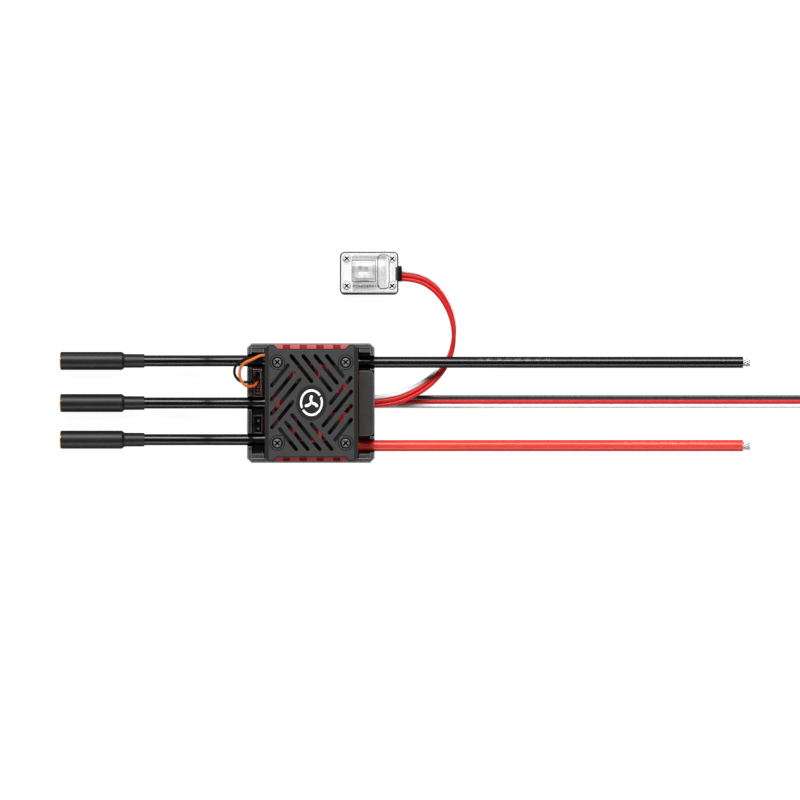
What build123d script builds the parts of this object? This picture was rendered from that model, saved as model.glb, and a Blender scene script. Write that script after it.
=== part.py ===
from build123d import *
import math
import os

# Brushless motor speed controller: finned case with a cooling fan, three motor
# leads with bullet sockets, two bare power leads, a receiver lead and a boxed switch.
# Millimetres. Origin: centre of the case's underside. +X towards the power leads,
# +Y towards the switch box, +Z up through the fan.

# ---------------------------------------------------------------- driving sizes
CASE_X, CASE_Y = 40.6, 38.1
CASE_TOP = 15.5
CASE_WALL = 1.4
CASE_FLOOR = 1.2
CORNER_CUT = 1.4

COOLER_MID = (0.3, 0.1)                  # middle of fan, guard and heatsink in plan
GUARD_X, GUARD_Y = 29.6, 37.0
GUARD_BOTTOM, GUARD_TOP = 20.0, 29.0
GUARD_BEVEL, FLANK_BEVEL = 0.5, 1.3      # top edges; the two long flanks are cut wider
GUARD_PLATE = 1.8
SCREW_PITCH_X, SCREW_PITCH_Y = 21.7, 25.6
NOTCH_HALF, NOTCH_DEPTH = 10.7, 1.2      # cut-outs that bare the heatsink's rails
SLOT_WIDTH = 1.25
BADGE_X, BADGE_Y = 9.6, 11.3

SINK_X = 29.0
SINK_BASE_Z, SINK_FIN_Z = 11.8, 13.8
RAIL_HALF, RAIL_PITCH, RAIL_GAP = 12.6, 5.34, 2.3

FAN_X, FAN_Y, FAN_HEIGHT = 27.0, 30.8, 7.0
FAN_BORE_R, FAN_TIP_R, HUB_R = 12.6, 12.0, 6.0
FAN_BLADES = 7
SHAFT_R = 0.75

CONTROL_PCB_Z = (1.9, 2.9)
POWER_PCB_Z = (6.0, 7.6)
PAD_TOP = 8.0                            # top of the solder pads on the power board
POST_X, POST_Y, POST_R = 10.5, 15.6, 2.4

LEAD_D = 3.5                             # silicone insulation of the heavy leads
LEAD_Z = PAD_TOP + LEAD_D / 2
MOTOR_LEAD_Y = {"a": 13.45, "b": 0.0, "c": -11.7}
POWER_LEAD_Y = {"black": 13.0, "red": -13.6}
POWER_LEAD_END = 137.9
TIP_D, TIP_LENGTH = 2.7, 2.4

BULLET_BORE_R, BULLET_R = 2.0, 2.5
BULLET_Z = 2.9                           # axis height of a bullet lying in its sleeve
BULLET_MOUTH, BULLET_BACK = -80.3, -60.6
SLEEVE_END = -53.2

CORE_D, CORE_PITCH = 1.25, 1.35          # light cables: three cores side by side
RECEIVER_Y = 0.44
RECEIVER_END = 165.0
PLUG_X, PLUG_Y, PLUG_Z = 14.0, 7.6, 2.5  # receiver plug, long, wide, thick
FAN_LEAD_D = 0.9

BOX_MID = (18.55, 41.4)                  # switch box
BOX_X, BOX_Y = 18.7, 13.8
BOX_SPLIT, BOX_TOP = 2.2, 6.8
BOX_WALL = 1.0
BUTTON_MID = (16.8, 42.1)
BUTTON_X, BUTTON_Y = 6.1, 4.9
BUTTON_GAP = 0.2
BUTTON_BOTTOM, BUTTON_TOP = 5.0, 7.5
BUTTON_TRAVEL = 0.4

# Routes of the free cords, from where each one starts inside the object.
MOTOR_ROUTE = [(-13.2, LEAD_Z), (-24.0, LEAD_Z), (-41.5, BULLET_Z), (-64.8, BULLET_Z)]
POWER_ROUTE = [(13.2, LEAD_Z), (37.0, LEAD_Z), (67.0, LEAD_D / 2), (POWER_LEAD_END, LEAD_D / 2)]
RECEIVER_ROUTE = [(16.4, 3.55), (22.8, 3.55), (31.5, 0.65), (RECEIVER_END, 0.65)]
# x, y, z and the cable's twist in degrees at each point, from the switch box back to the case
SWITCH_ROUTE = [
    (27.4, 40.9, 3.5, 0),
    (33.2, 40.9, 3.5, 0),
    (39.6, 37.6, 2.7, 30),
    (44.0, 31.4, 2.1, 58),
    (45.9, 24.0, 2.1, 82),
    (45.1, 16.5, 2.1, 103),
    (41.5, 10.1, 2.7, 127),
    (35.2, 4.6, 4.2, 153),
    (25.4, 0.35, 5.1, 180),
    (16.4, 0.35, 5.1, 180),
]
ORANGE_ROUTE = [
    (-13.2, 15.2, 22.0),
    (-15.9, 15.2, 21.7),
    (-18.5, 13.8, 20.8),
    (-20.9, 13.0, 19.9),
    (-22.6, 11.0, 19.0),
    (-22.7, 8.1, 18.1),
    (-20.9, 5.3, 17.6),
    (-18.1, 5.2, 16.2),
    (-17.0, 6.7, 13.8),
    (-17.0, 6.7, 11.0),
]
BLACK_ROUTE = [
    (-13.2, 15.0, 20.8),
    (-16.2, 15.0, 20.3),
    (-19.4, 14.2, 19.4),
    (-21.9, 13.7, 18.5),
    (-24.2, 11.5, 17.7),
    (-24.4, 9.1, 16.8),
    (-22.8, 6.9, 16.0),
    (-20.2, 6.5, 15.7),
    (-18.0, 7.7, 15.3),
    (-17.0, 9.1, 13.5),
    (-17.0, 9.1, 11.0),
]

MX, MY = COOLER_MID
BOX_CX, BOX_CY = BOX_MID
os.makedirs("parts", exist_ok=True)


# ---------------------------------------------------------------------- helpers
def block(x, y, z):
    """A box from three (low, high) pairs."""
    size = [high - low for low, high in (x, y, z)]
    middle = [(high + low) / 2 for low, high in (x, y, z)]
    return Pos(*middle) * Box(*size)


def post(x, y, z0, z1, radius):
    """An upright cylinder."""
    return Pos(x, y, (z0 + z1) / 2) * Cylinder(radius, z1 - z0)


def around(mid_x, mid_y, step_x, step_y):
    """The four corners of a rectangle about a middle point."""
    return [
        (mid_x + sx * step_x, mid_y + sy * step_y)
        for sx in (-1, 1)
        for sy in (-1, 1)
    ]


def upright_edges(solid):
    return solid.edges().filter_by(Axis.Z)


def group(label, solids):
    """Several separate solids kept as one named node."""
    return Compound(label=label, children=list(solids))


def save(label, shape):
    shape.label = label
    export_step(shape, f"parts/{label}.step")


def bend_radii(points):
    """Each arc of a cord is as large as its two straight runs allow."""
    radii = []
    for a, b, c in zip(points, points[1:], points[2:]):
        into = Vector(*b) - Vector(*a)
        out = Vector(*c) - Vector(*b)
        half_turn = math.radians(into.get_angle(out)) / 2
        radii.append(0.45 * min(into.length, out.length) / math.tan(half_turn))
    return radii


def tube(label, points, diameter):
    """A round cord along straight runs joined by tangent arcs."""
    radii = bend_radii(points)
    path = FilletPolyline(*[Vector(*p) for p in points], radius=radii)
    start = Plane(origin=path @ 0, z_dir=path % 0)
    cord = sweep(start * Circle(diameter / 2), path=path)
    ratio = cord.volume / (math.pi * diameter**2 / 4 * path.length)
    print(f"{label}: length {path.length:.1f}, volume ratio {ratio:.4f},",
          "radii", " ".join(f"{r:.1f}" for r in radii))
    return cord


def phillips_screw(x, y, seat, head_r, head_h, shank_r, tip):
    """Pan-head screw: head above its seat, shank down to the tip, cross recess on top."""
    head = post(x, y, seat, seat + head_h, head_r)
    head = chamfer(head.edges().filter_by(GeomType.CIRCLE).sort_by(Axis.Z)[-1], head_h * 0.4)
    screw = head + post(x, y, tip, seat, shank_r)
    arm = head_r * 0.72
    width = head_r * 0.17
    top = seat + head_h
    depth = (top - head_h * 0.75, top + 1)
    screw -= Pos(x, y, 0) * Rot(0, 0, 45) * block((-arm, arm), (-width, width), depth)
    screw -= Pos(x, y, 0) * Rot(0, 0, 45) * block((-width, width), (-arm, arm), depth)
    return screw


# ------------------------------------------------------------------------- case
def make_base_shell():
    shell = block((-CASE_X / 2, CASE_X / 2), (-CASE_Y / 2, CASE_Y / 2), (0, CASE_TOP))
    shell = chamfer(upright_edges(shell), CORNER_CUT)
    shell = chamfer(shell.faces().sort_by(Axis.Z)[0].edges(), 0.5)
    shell = chamfer(shell.faces().sort_by(Axis.Z)[-1].edges(), 0.35)
    in_x = CASE_X / 2 - CASE_WALL
    in_y = CASE_Y / 2 - CASE_WALL
    shell -= block((-in_x, in_x), (-in_y, in_y), (CASE_FLOOR, CASE_TOP + 1))

    # Corner lugs beside the heatsink, flush with the rim.
    lug_inner = 16.2
    for side in (-1, 1):
        for end in (-1, 1):
            x = sorted((side * in_x, side * 15.2 + 0.3))
            y = sorted((end * in_y, end * lug_inner))
            shell += block(x, y, (POWER_PCB_Z[1], CASE_TOP - 0.35))

    # Posts that carry both boards and the heatsink, drilled for the case screws.
    for x, y in around(0, 0, POST_X, POST_Y):
        column = post(x, y, CASE_FLOOR, SINK_BASE_Z, POST_R)
        column -= block((x - 3, x + 3), (in_y, in_y + 3), (0, CASE_TOP))
        column -= block((x - 3, x + 3), (-in_y - 3, -in_y), (0, CASE_TOP))
        shell += column
        shell -= post(x, y, -1, SINK_BASE_Z + 1, 1.05)
        shell -= post(x, y, -1, 1.0, 2.0)

    # Open-topped U cuts for the heavy leads.
    cut_r = 2.2
    outward = {-1: MOTOR_LEAD_Y.values(), 1: POWER_LEAD_Y.values()}
    for side, lead_rows in outward.items():
        x = sorted((side * (in_x - 0.5), side * (CASE_X / 2 + 1)))
        for y in lead_rows:
            shell -= block(x, (y - cut_r, y + cut_r), (LEAD_Z, CASE_TOP + 1))
            bottom = Rot(0, 90, 0) * Cylinder(cut_r, x[1] - x[0])
            shell -= Pos((x[0] + x[1]) / 2, y, LEAD_Z) * bottom

    # The wall is lower under the terminal cover, with a window for the light cables.
    shell -= block((in_x - 0.01, CASE_X / 2 + 1), (-10.7, 10.5), (12.0, CASE_TOP + 1))
    shell -= block((in_x - 0.01, CASE_X / 2 + 1), (-2.3, 3.0), (2.7, 6.2))
    return shell


def make_terminal_cover():
    cap = block((15.4, 20.1), (-10.5, 10.3), (12.0, 15.4))
    outer = upright_edges(cap).group_by(Axis.X)[-1]
    cap = fillet(outer, 1.6)
    cap = fillet(cap.faces().sort_by(Axis.Z)[-1].edges(), 0.4)
    leg = block((15.4, 18.6), (-8.0, 8.0), (PAD_TOP, 12.0))
    return cap + leg


def make_case_screws():
    tip = 13.0
    screws = []
    for x, y in around(0, 0, POST_X, POST_Y):
        upright = phillips_screw(0, 0, 0, 1.9, 0.9, 1.0, -(tip - 1.0))
        screws.append(Pos(x, y, 1.0) * Rot(180, 0, 0) * upright)
    return group("case_screws", screws)


# ----------------------------------------------------------------------- boards
def board(half_x, half_y, z):
    plate = block((-half_x, half_x), (-half_y, half_y), z)
    for x, y in around(0, 0, POST_X, POST_Y):
        plate -= post(x, y, z[0] - 1, z[1] + 1, POST_R + 0.2)
        edge = half_y + 1
        plate -= block((x - POST_R - 0.2, x + POST_R + 0.2), sorted((y, math.copysign(edge, y))),
                       (z[0] - 1, z[1] + 1))
    return plate


def make_control_parts():
    z0 = CONTROL_PCB_Z[1]
    chips = [
        block((-8.0, -1.0), (2.0, 9.0), (z0, z0 + 1.0)),
        block((-9.0, -4.0), (-7.0, -2.0), (z0, z0 + 0.9)),
        block((2.0, 5.9), (-9.0, -5.0), (z0, z0 + 1.2)),
        block((3.0, 8.0), (6.0, 10.0), (z0, z0 + 1.5)),
    ]
    return group("control_parts", chips)


def make_mosfets():
    z = (POWER_PCB_Z[1], POWER_PCB_Z[1] + 1.0)
    packages = []
    for column in (-8.4, -2.6, 3.2, 9.0):
        for row in (-7.6, -1.0, 5.6):
            packages.append(block((column - 2.5, column + 2.5), (row - 3.0, row + 3.0), z))
    return group("mosfets", packages)


def make_capacitors():
    cans = []
    for x in (-13.5, 13.5):
        for y in (-8.4, 8.4):
            can = post(x, y, CONTROL_PCB_Z[1], POWER_PCB_Z[0] - 0.1, 2.0)
            cans.append(can)
    return group("capacitors", cans)


def make_board_header():
    z = (CONTROL_PCB_Z[1], POWER_PCB_Z[0])
    strip = block((-9.0, 9.0), (-13.6, -11.4), z)
    return strip


def make_solder_pads():
    z = (POWER_PCB_Z[1], PAD_TOP)
    pads = [block((-17.6, -13.3), (y - 1.6, y + 1.6), z) for y in MOTOR_LEAD_Y.values()]
    pads += [block((13.3, 18.0), (y - 1.7, y + 1.7), z) for y in POWER_LEAD_Y.values()]
    return group("solder_pads", pads)


def make_cable_clamp():
    return block((12.4, 16.4), (-3.0, 3.4), (CONTROL_PCB_Z[1], 5.9))


# --------------------------------------------------------------------- heatsink
def make_heatsink():
    left, right = MX - 14.5, MX - 14.5 + SINK_X
    plate_y = 17.4
    sink = block((left, right), (-plate_y, plate_y), (SINK_BASE_Z, SINK_FIN_Z))
    sink += block((MX - 11.2, MX + 11.6), (-11.0, 9.0), (9.2, SINK_BASE_Z))

    # Thin fins under the fan, every other one in line with a rail block.
    fin_step = RAIL_PITCH / 2
    for number in range(-5, 6):
        x = MX + number * fin_step
        sink += block((x - 0.6, x + 0.6), (-16.7, 16.7), (SINK_FIN_Z, 19.4))

    # Rails along the two open ends, cut through by the air gaps.
    rail_x = (MX - RAIL_HALF, MX + RAIL_HALF)
    for end in (-1, 1):
        inner = sorted((end * 16.6, end * plate_y))
        outer = sorted((end * plate_y, end * 18.5))
        sink += block(rail_x, inner, (SINK_FIN_Z, GUARD_BOTTOM))
        sink += block(rail_x, outer, (CASE_TOP + 0.1, GUARD_BOTTOM))
        for step in (-1.5, -0.5, 0.5, 1.5):
            x = MX + step * RAIL_PITCH
            gap_y = sorted((end * 16.8, end * 19.0))
            sink -= block((x - RAIL_GAP / 2, x + RAIL_GAP / 2), gap_y, (CASE_TOP + 1.2, 21))

    # Bosses for the guard screws, and blind holes for the case screws.
    for x, y in around(MX, MY, SCREW_PITCH_X / 2, SCREW_PITCH_Y / 2):
        sink += post(x, y, SINK_BASE_Z, GUARD_BOTTOM, 2.2)
        sink -= post(x, y, SINK_BASE_Z + 0.2, GUARD_BOTTOM + 1, 1.05)
    for x, y in around(0, 0, POST_X, POST_Y):
        sink -= post(x, y, SINK_BASE_Z - 1, 13.3, 1.05)
    return sink


def make_thermal_pad():
    return block((MX - 11.2, MX + 11.6), (-10.6, 8.6), (POWER_PCB_Z[1] + 1.0, 9.2))


# -------------------------------------------------------------------------- fan
def make_fan_frame():
    z = (GUARD_BOTTOM, GUARD_BOTTOM + FAN_HEIGHT)
    frame = block((MX - FAN_X / 2, MX + FAN_X / 2), (MY - FAN_Y / 2, MY + FAN_Y / 2), z)
    frame = fillet(upright_edges(frame), 2.0)
    frame -= post(MX, MY, z[0] - 1, z[1] + 1, FAN_BORE_R)
    for x, y in around(MX, MY, SCREW_PITCH_X / 2, SCREW_PITCH_Y / 2):
        frame -= post(x, y, z[0] - 1, z[1] + 1, 1.2)
    # Motor plate carried by four struts.
    plate = post(MX, MY, z[0], z[0] + 0.9, 6.2)
    for turn in (45, 135):
        strut = block((-FAN_BORE_R - 0.3, FAN_BORE_R + 0.3), (-0.8, 0.8), (z[0], z[0] + 0.9))
        plate += Pos(MX, MY, 0) * Rot(0, 0, turn) * strut
    frame += plate
    frame += post(MX, MY, z[0] + 0.9, z[0] + 4.6, 2.3)
    frame -= post(MX, MY, z[0] + 0.4, z[0] + 6, 1.5)
    return frame


def make_fan_bearing():
    z0 = GUARD_BOTTOM + 0.4
    return post(MX, MY, z0, GUARD_BOTTOM + 4.6, 1.5) - post(MX, MY, z0 - 1, 30, SHAFT_R + 0.03)


def make_fan_stator():
    z = (GUARD_BOTTOM + 1.3, GUARD_BOTTOM + 4.3)
    core = post(MX, MY, *z, 2.9)
    arm = block((-4.1, 4.1), (-0.9, 0.9), z)
    shoe = post(0, 0, *z, 4.2) - post(0, 0, z[0] - 1, z[1] + 1, 3.6)
    window = block((-5, 5), (-2.2, 2.2), (z[0] - 1, z[1] + 1))
    window += Rot(0, 0, 90) * window
    for turn in (0, 90):
        core += Pos(MX, MY, 0) * Rot(0, 0, turn) * arm
    core += Pos(MX, MY, 0) * (shoe & window)
    return core - post(MX, MY, z[0] - 1, z[1] + 1, 2.3)


def make_fan_rotor():
    z0, z1 = GUARD_BOTTOM + 1.2, GUARD_BOTTOM + 6.2
    hub = post(MX, MY, z0, z1, HUB_R)
    hub = fillet(hub.edges().filter_by(GeomType.CIRCLE).sort_by(Axis.Z)[-1], 0.5)
    hub -= post(MX, MY, z0 - 1, z1 - 0.8, HUB_R - 0.55)
    ring = post(MX, MY, z0 + 0.2, z1 - 0.4, FAN_TIP_R)
    ring -= post(MX, MY, z0 - 1, z1 + 1, HUB_R - 0.3)
    pitch = 38
    blade_length = FAN_TIP_R + 1
    for number in range(FAN_BLADES):
        blade = Box(blade_length, 7.4, 0.7)
        blade = Pos(blade_length / 2, 0, (z0 + z1) / 2 - 0.1) * Rot(pitch, 0, 0) * blade
        blade = Pos(MX, MY, 0) * Rot(0, 0, number * 360 / FAN_BLADES) * blade
        hub += blade & ring
    hub -= post(MX, MY, z0, z1 - 0.8, HUB_R - 0.55)
    hub -= post(MX, MY, z0 - 1, z1 - 0.3, SHAFT_R)
    return hub


def make_fan_magnet():
    z0, z1 = GUARD_BOTTOM + 1.4, GUARD_BOTTOM + 5.2
    return post(MX, MY, z0, z1, HUB_R - 0.55) - post(MX, MY, z0 - 1, z1 + 1, 4.6)


def make_fan_shaft():
    return post(MX, MY, GUARD_BOTTOM + 0.6, GUARD_BOTTOM + 5.9, SHAFT_R)


# ------------------------------------------------------------------------ guard
# Eight cooling slots as (start, end) about the pattern's middle; a half turn
# of the pattern gives the other eight.
SLOTS = [
    ((-6.4, 14.8), (0.0, 6.8)),
    ((-2.6, 14.8), (6.1, 3.95)),
    ((1.2, 14.8), (8.1, 6.3)),
    ((4.9, 14.8), (10.0, 8.4)),
    ((-7.5, 11.8), (-12.6, 5.4)),
    ((-5.7, 9.55), (-12.6, 1.0)),
    ((-3.75, 7.3), (-12.6, -3.5)),
    ((-6.0, 0.2), (-12.5, -7.9)),
]


def guard_outline():
    """Rectangle with cut corners and a shallow wide notch in each long end."""
    x, y, cut = GUARD_X / 2, GUARD_Y / 2, 1.3
    quarter = [
        (NOTCH_HALF, y - NOTCH_DEPTH),
        (NOTCH_HALF + NOTCH_DEPTH, y),
        (x - cut, y),
        (x, y - cut),
    ]
    top_right = quarter
    low_right = [(px, -py) for px, py in reversed(quarter)]
    low_left = [(-px, -py) for px, py in quarter]
    top_left = [(-px, py) for px, py in reversed(quarter)]
    face = make_face(Polyline(*top_right, *low_right, *low_left, *top_left, close=True))
    return Pos(MX, 0) * face


def teardrop(radius, towards):
    """Circle drawn out to a corner in the given direction, in degrees."""
    corner = Rot(0, 0, towards - 45) * Pos(radius / 2, radius / 2) * Rectangle(radius, radius)
    return Circle(radius) + corner


def make_fan_guard():
    guard = Pos(0, 0, GUARD_BOTTOM) * extrude(guard_outline(), GUARD_TOP - GUARD_BOTTOM)
    flanks = guard.faces().sort_by(Axis.Z)[-1].edges().filter_by(Axis.Y)
    guard = chamfer(flanks, FLANK_BEVEL)
    rim = guard.faces().sort_by(Axis.Z)[-1].edges()
    guard = chamfer(rim - rim.filter_by(Axis.Y), GUARD_BEVEL)
    inside_x = (MX - GUARD_X / 2 + 1.1, MX + GUARD_X / 2 - 1.1)
    guard -= block(inside_x, (-16.2, 16.2), (GUARD_BOTTOM - 1, GUARD_TOP - GUARD_PLATE))

    # Cooling slots.
    for (x0, y0), (x1, y1) in SLOTS:
        for flip in (1, -1):
            run = Vector(x1 - x0, y1 - y0, 0) * flip
            slot = SlotCenterToCenter(run.length, SLOT_WIDTH)
            tilt = math.degrees(math.atan2(run.Y, run.X))
            middle = (MX + flip * (x0 + x1) / 2, MY + flip * (y0 + y1) / 2)
            cutter = Pos(*middle, GUARD_TOP - 3) * Rot(0, 0, tilt) * extrude(slot, 4)
            guard -= cutter

    # Screw pockets, each in a fine engraved teardrop that points at the badge.
    for x, y in around(MX, MY, SCREW_PITCH_X / 2, SCREW_PITCH_Y / 2):
        towards = math.degrees(math.atan2(MY - y, MX - x))
        groove = teardrop(2.5, towards) - teardrop(2.2, towards)
        guard -= Pos(x, y, GUARD_TOP - 0.15) * extrude(groove, 1)
        guard -= post(x, y, GUARD_TOP - 0.9, GUARD_TOP + 1, 1.8)
        guard -= post(x, y, 0, GUARD_TOP + 1, 1.15)

    # Shallow seat for the badge, and the gap that lets the fan's leads out.
    seat = Pos(MX, MY, GUARD_TOP - 0.4) * extrude(Ellipse(BADGE_X / 2, BADGE_Y / 2), 1)
    guard -= seat
    guard -= block((MX - GUARD_X / 2 - 1, MX - 10), (14.1, 16.1), (GUARD_BOTTOM - 1, 22.8))
    return guard


def make_guard_badge():
    disc = extrude(Ellipse(BADGE_X / 2 - 0.05, BADGE_Y / 2 - 0.05), 0.5)
    return Pos(MX, MY, GUARD_TOP - 0.4) * disc


def make_badge_emblem():
    """A plain printed ring round a three-bladed fan."""
    z = GUARD_TOP + 0.1
    thick = 0.08
    stretch = BADGE_Y / BADGE_X
    ring = Ellipse(3.6, 3.6 * stretch) - Ellipse(3.0, 3.0 * stretch)
    for turn in (35, 215):
        ring -= Rot(0, 0, turn) * Pos(3.3, 0) * Rectangle(2.0, 0.7)
    marks = [Pos(MX, MY, z) * extrude(ring, thick)]
    for turn in (90, 210, 330):
        blade = Pos(1.25, 0) * Ellipse(1.15, 0.62) - Pos(1.0, -0.75) * Ellipse(1.1, 0.5)
        marks.append(Pos(MX, MY, z) * extrude(Rot(0, 0, turn) * blade, thick))
    solids = [solid for mark in marks for solid in mark.solids()]
    return group("badge_emblem", solids)


def make_guard_screws():
    seat = GUARD_TOP - 0.9
    corners = around(MX, MY, SCREW_PITCH_X / 2, SCREW_PITCH_Y / 2)
    tip = SINK_BASE_Z + 0.8
    screws = [phillips_screw(x, y, seat, 1.45, 0.85, 1.0, tip) for x, y in corners]
    return group("guard_screws", screws)


# --------------------------------------------------- fan connector and setup port
CAVITY_ROWS = (9.1, 6.7, 4.1)
CAVITY_X = -17.0


def make_fan_header():
    return block((-18.5, -15.5), (1.9, 10.9), (POWER_PCB_Z[1], 9.0))


def make_fan_pins():
    pins = [block((CAVITY_X - 0.3, CAVITY_X + 0.3), (y - 0.3, y + 0.3), (9.0, 11.0))
            for y in CAVITY_ROWS]
    return group("fan_pins", pins)


def make_fan_plug():
    plug = block((-18.45, -15.55), (1.95, 10.85), (9.0, 13.0))
    plug = chamfer(plug.faces().sort_by(Axis.Z)[-1].edges(), 0.2)
    for y in CAVITY_ROWS:
        plug -= block((CAVITY_X - 0.85, CAVITY_X + 0.85), (y - 0.9, y + 0.9), (10.2, 14))
        plug -= block((CAVITY_X - 0.35, CAVITY_X + 0.35), (y - 0.35, y + 0.35), (8, 11))
    return plug


PORT_ROWS = (-5.6, -8.3)
PORT_X = -16.7


def make_port_housing():
    housing = block((-18.5, -15.3), (-9.8, -3.8), (POWER_PCB_Z[1], 12.4))
    housing = chamfer(housing.faces().sort_by(Axis.Z)[-1].edges(), 0.15)
    housing -= block((-18.1, -15.7), (-9.4, -4.2), (8.6, 14))
    key = block((-18.8, -18.0), (-7.6, -6.2), (10.0, 14))
    return housing - key


def make_port_pins():
    pins = [post(PORT_X, y, 8.6, 12.0, 0.5) for y in PORT_ROWS]
    return group("port_pins", [chamfer(pin.faces().sort_by(Axis.Z)[-1].edges(), 0.2)
                               for pin in pins])


# -------------------------------------------------------------------- the leads
def make_motor_wire(name):
    points = [(x, MOTOR_LEAD_Y[name], z) for x, z in MOTOR_ROUTE]
    return tube(f"motor_wire_{name}", points, LEAD_D)


def turned(profile, y, z):
    """Revolve a closed (along X, radius) profile about the line y, z along X."""
    face = make_face(Polyline(*profile, close=True))
    return Pos(0, y, z) * revolve(face, Axis.X, 360)


def make_bullet(name):
    bore_end, cup = -66.5, LEAD_D / 2 + 0.05
    cup_start = -64.8
    body = turned(
        [
            (BULLET_MOUTH, BULLET_BORE_R + 0.25),
            (BULLET_MOUTH + 0.25, BULLET_R),
            (BULLET_BACK, BULLET_R),
            (BULLET_BACK, cup),
            (cup_start, cup),
            (cup_start, 0),
            (bore_end, 0),
            (bore_end, BULLET_BORE_R),
            (BULLET_MOUTH, BULLET_BORE_R),
        ],
        MOTOR_LEAD_Y[name], BULLET_Z,
    )
    return body


def make_shrink(name):
    """Heat-shrink sleeve, drawn in where the bullet ends and the wire begins."""
    mouth = BULLET_MOUTH + 0.3
    thick, thin = 2.9, 2.175
    gap = 0.03
    return turned(
        [
            (mouth, BULLET_R + gap),
            (mouth, thick - 0.15),
            (mouth + 0.3, thick),
            (-60.4, thick),
            (-59.5, thin + 0.05),
            (SLEEVE_END, thin),
            (SLEEVE_END, LEAD_D / 2 + gap),
            (BULLET_BACK + 0.4, LEAD_D / 2 + gap),
            (BULLET_BACK + 0.1, BULLET_R + gap),
        ],
        MOTOR_LEAD_Y[name], BULLET_Z,
    )


def make_power_wire(name):
    points = [(x, POWER_LEAD_Y[name], z) for x, z in POWER_ROUTE]
    return tube(f"power_wire_{name}", points, LEAD_D)


def make_power_tip(name):
    tip = Rot(0, 90, 0) * Cylinder(TIP_D / 2, TIP_LENGTH)
    tip = Pos(POWER_LEAD_END + TIP_LENGTH / 2, POWER_LEAD_Y[name], LEAD_D / 2) * tip
    return fillet(tip.edges().filter_by(GeomType.CIRCLE).sort_by(Axis.X)[-1], 0.5)


def core_offsets(route):
    """Sideways direction at each point of a flat cable that twists as it runs."""
    offsets = []
    last = len(route) - 1
    for number, (_, _, _, twist) in enumerate(route):
        before = route[max(number - 1, 0)]
        after = route[min(number + 1, last)]
        run = Vector(after[0] - before[0], after[1] - before[1], 0).normalized()
        left = Vector(-run.Y, run.X, 0)
        angle = math.radians(twist)
        offsets.append(left * math.cos(angle) - Vector(0, 0, 1) * math.sin(angle))
    return offsets


def make_switch_core(label, place):
    """One core of the switch cable; place is 1, 0 or -1 across the cable."""
    offsets = core_offsets(SWITCH_ROUTE)
    points = []
    for (x, y, z, _), offset in zip(SWITCH_ROUTE, offsets):
        middle = Vector(x, y, z) + offset * (place * CORE_PITCH)
        points.append((middle.X, middle.Y, middle.Z))
    return tube(label, points, CORE_D)


def make_receiver_core(label, place):
    y = RECEIVER_Y + place * CORE_PITCH
    return tube(label, [(x, y, z) for x, z in RECEIVER_ROUTE], CORE_D)


def make_receiver_plug():
    x = (RECEIVER_END, RECEIVER_END + PLUG_X)
    y = (RECEIVER_Y - PLUG_Y / 2, RECEIVER_Y + PLUG_Y / 2)
    plug = block(x, y, (0, PLUG_Z))
    plug = chamfer(plug.edges().filter_by(Axis.X), 0.4)
    for place in (-1, 0, 1):
        row = RECEIVER_Y + place * 2.54
        plug -= block((x[0] + 3, x[1] + 1), (row - 0.6, row + 0.6), (0.65, 1.85))
        plug -= block((x[0] + 4.5, x[1] - 4.5), (row - 0.7, row + 0.7), (1.6, PLUG_Z + 1))
    return plug


def make_receiver_contacts():
    x0, x1 = RECEIVER_END + 3, RECEIVER_END + PLUG_X - 0.4
    sleeves = []
    for place in (-1, 0, 1):
        row = RECEIVER_Y + place * 2.54
        sleeve = block((x0, x1), (row - 0.58, row + 0.58), (0.67, 1.55))
        sleeve -= block((x0 + 3, x1 + 1), (row - 0.35, row + 0.35), (0.85, 1.4))
        sleeves.append(sleeve)
    return group("receiver_contacts", sleeves)


def make_fan_lead(label, route):
    return tube(label, route, FAN_LEAD_D)


# ------------------------------------------------------------------- switch box
BOX_EDGE_X = (BOX_CX - BOX_X / 2, BOX_CX + BOX_X / 2)
BOX_EDGE_Y = (BOX_CY - BOX_Y / 2, BOX_CY + BOX_Y / 2)
BOX_SCREWS = around(18.65, 41.7, 7.25, 4.35)
GROMMET_Y, GROMMET_Z = (38.75, 43.8), (1.9, 5.1)


def make_switch_base():
    tray = block(BOX_EDGE_X, BOX_EDGE_Y, (0, BOX_SPLIT))
    tray = fillet(upright_edges(tray), 1.6)
    tray = chamfer(tray.faces().sort_by(Axis.Z)[0].edges(), 0.4)
    for x, y in BOX_SCREWS:
        tray -= post(x, y, 0.7, BOX_SPLIT + 1, 0.65)
    tray -= block((BOX_EDGE_X[1] - 1.8, BOX_EDGE_X[1] + 1), GROMMET_Y, (GROMMET_Z[0], 3))
    return tray


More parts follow.
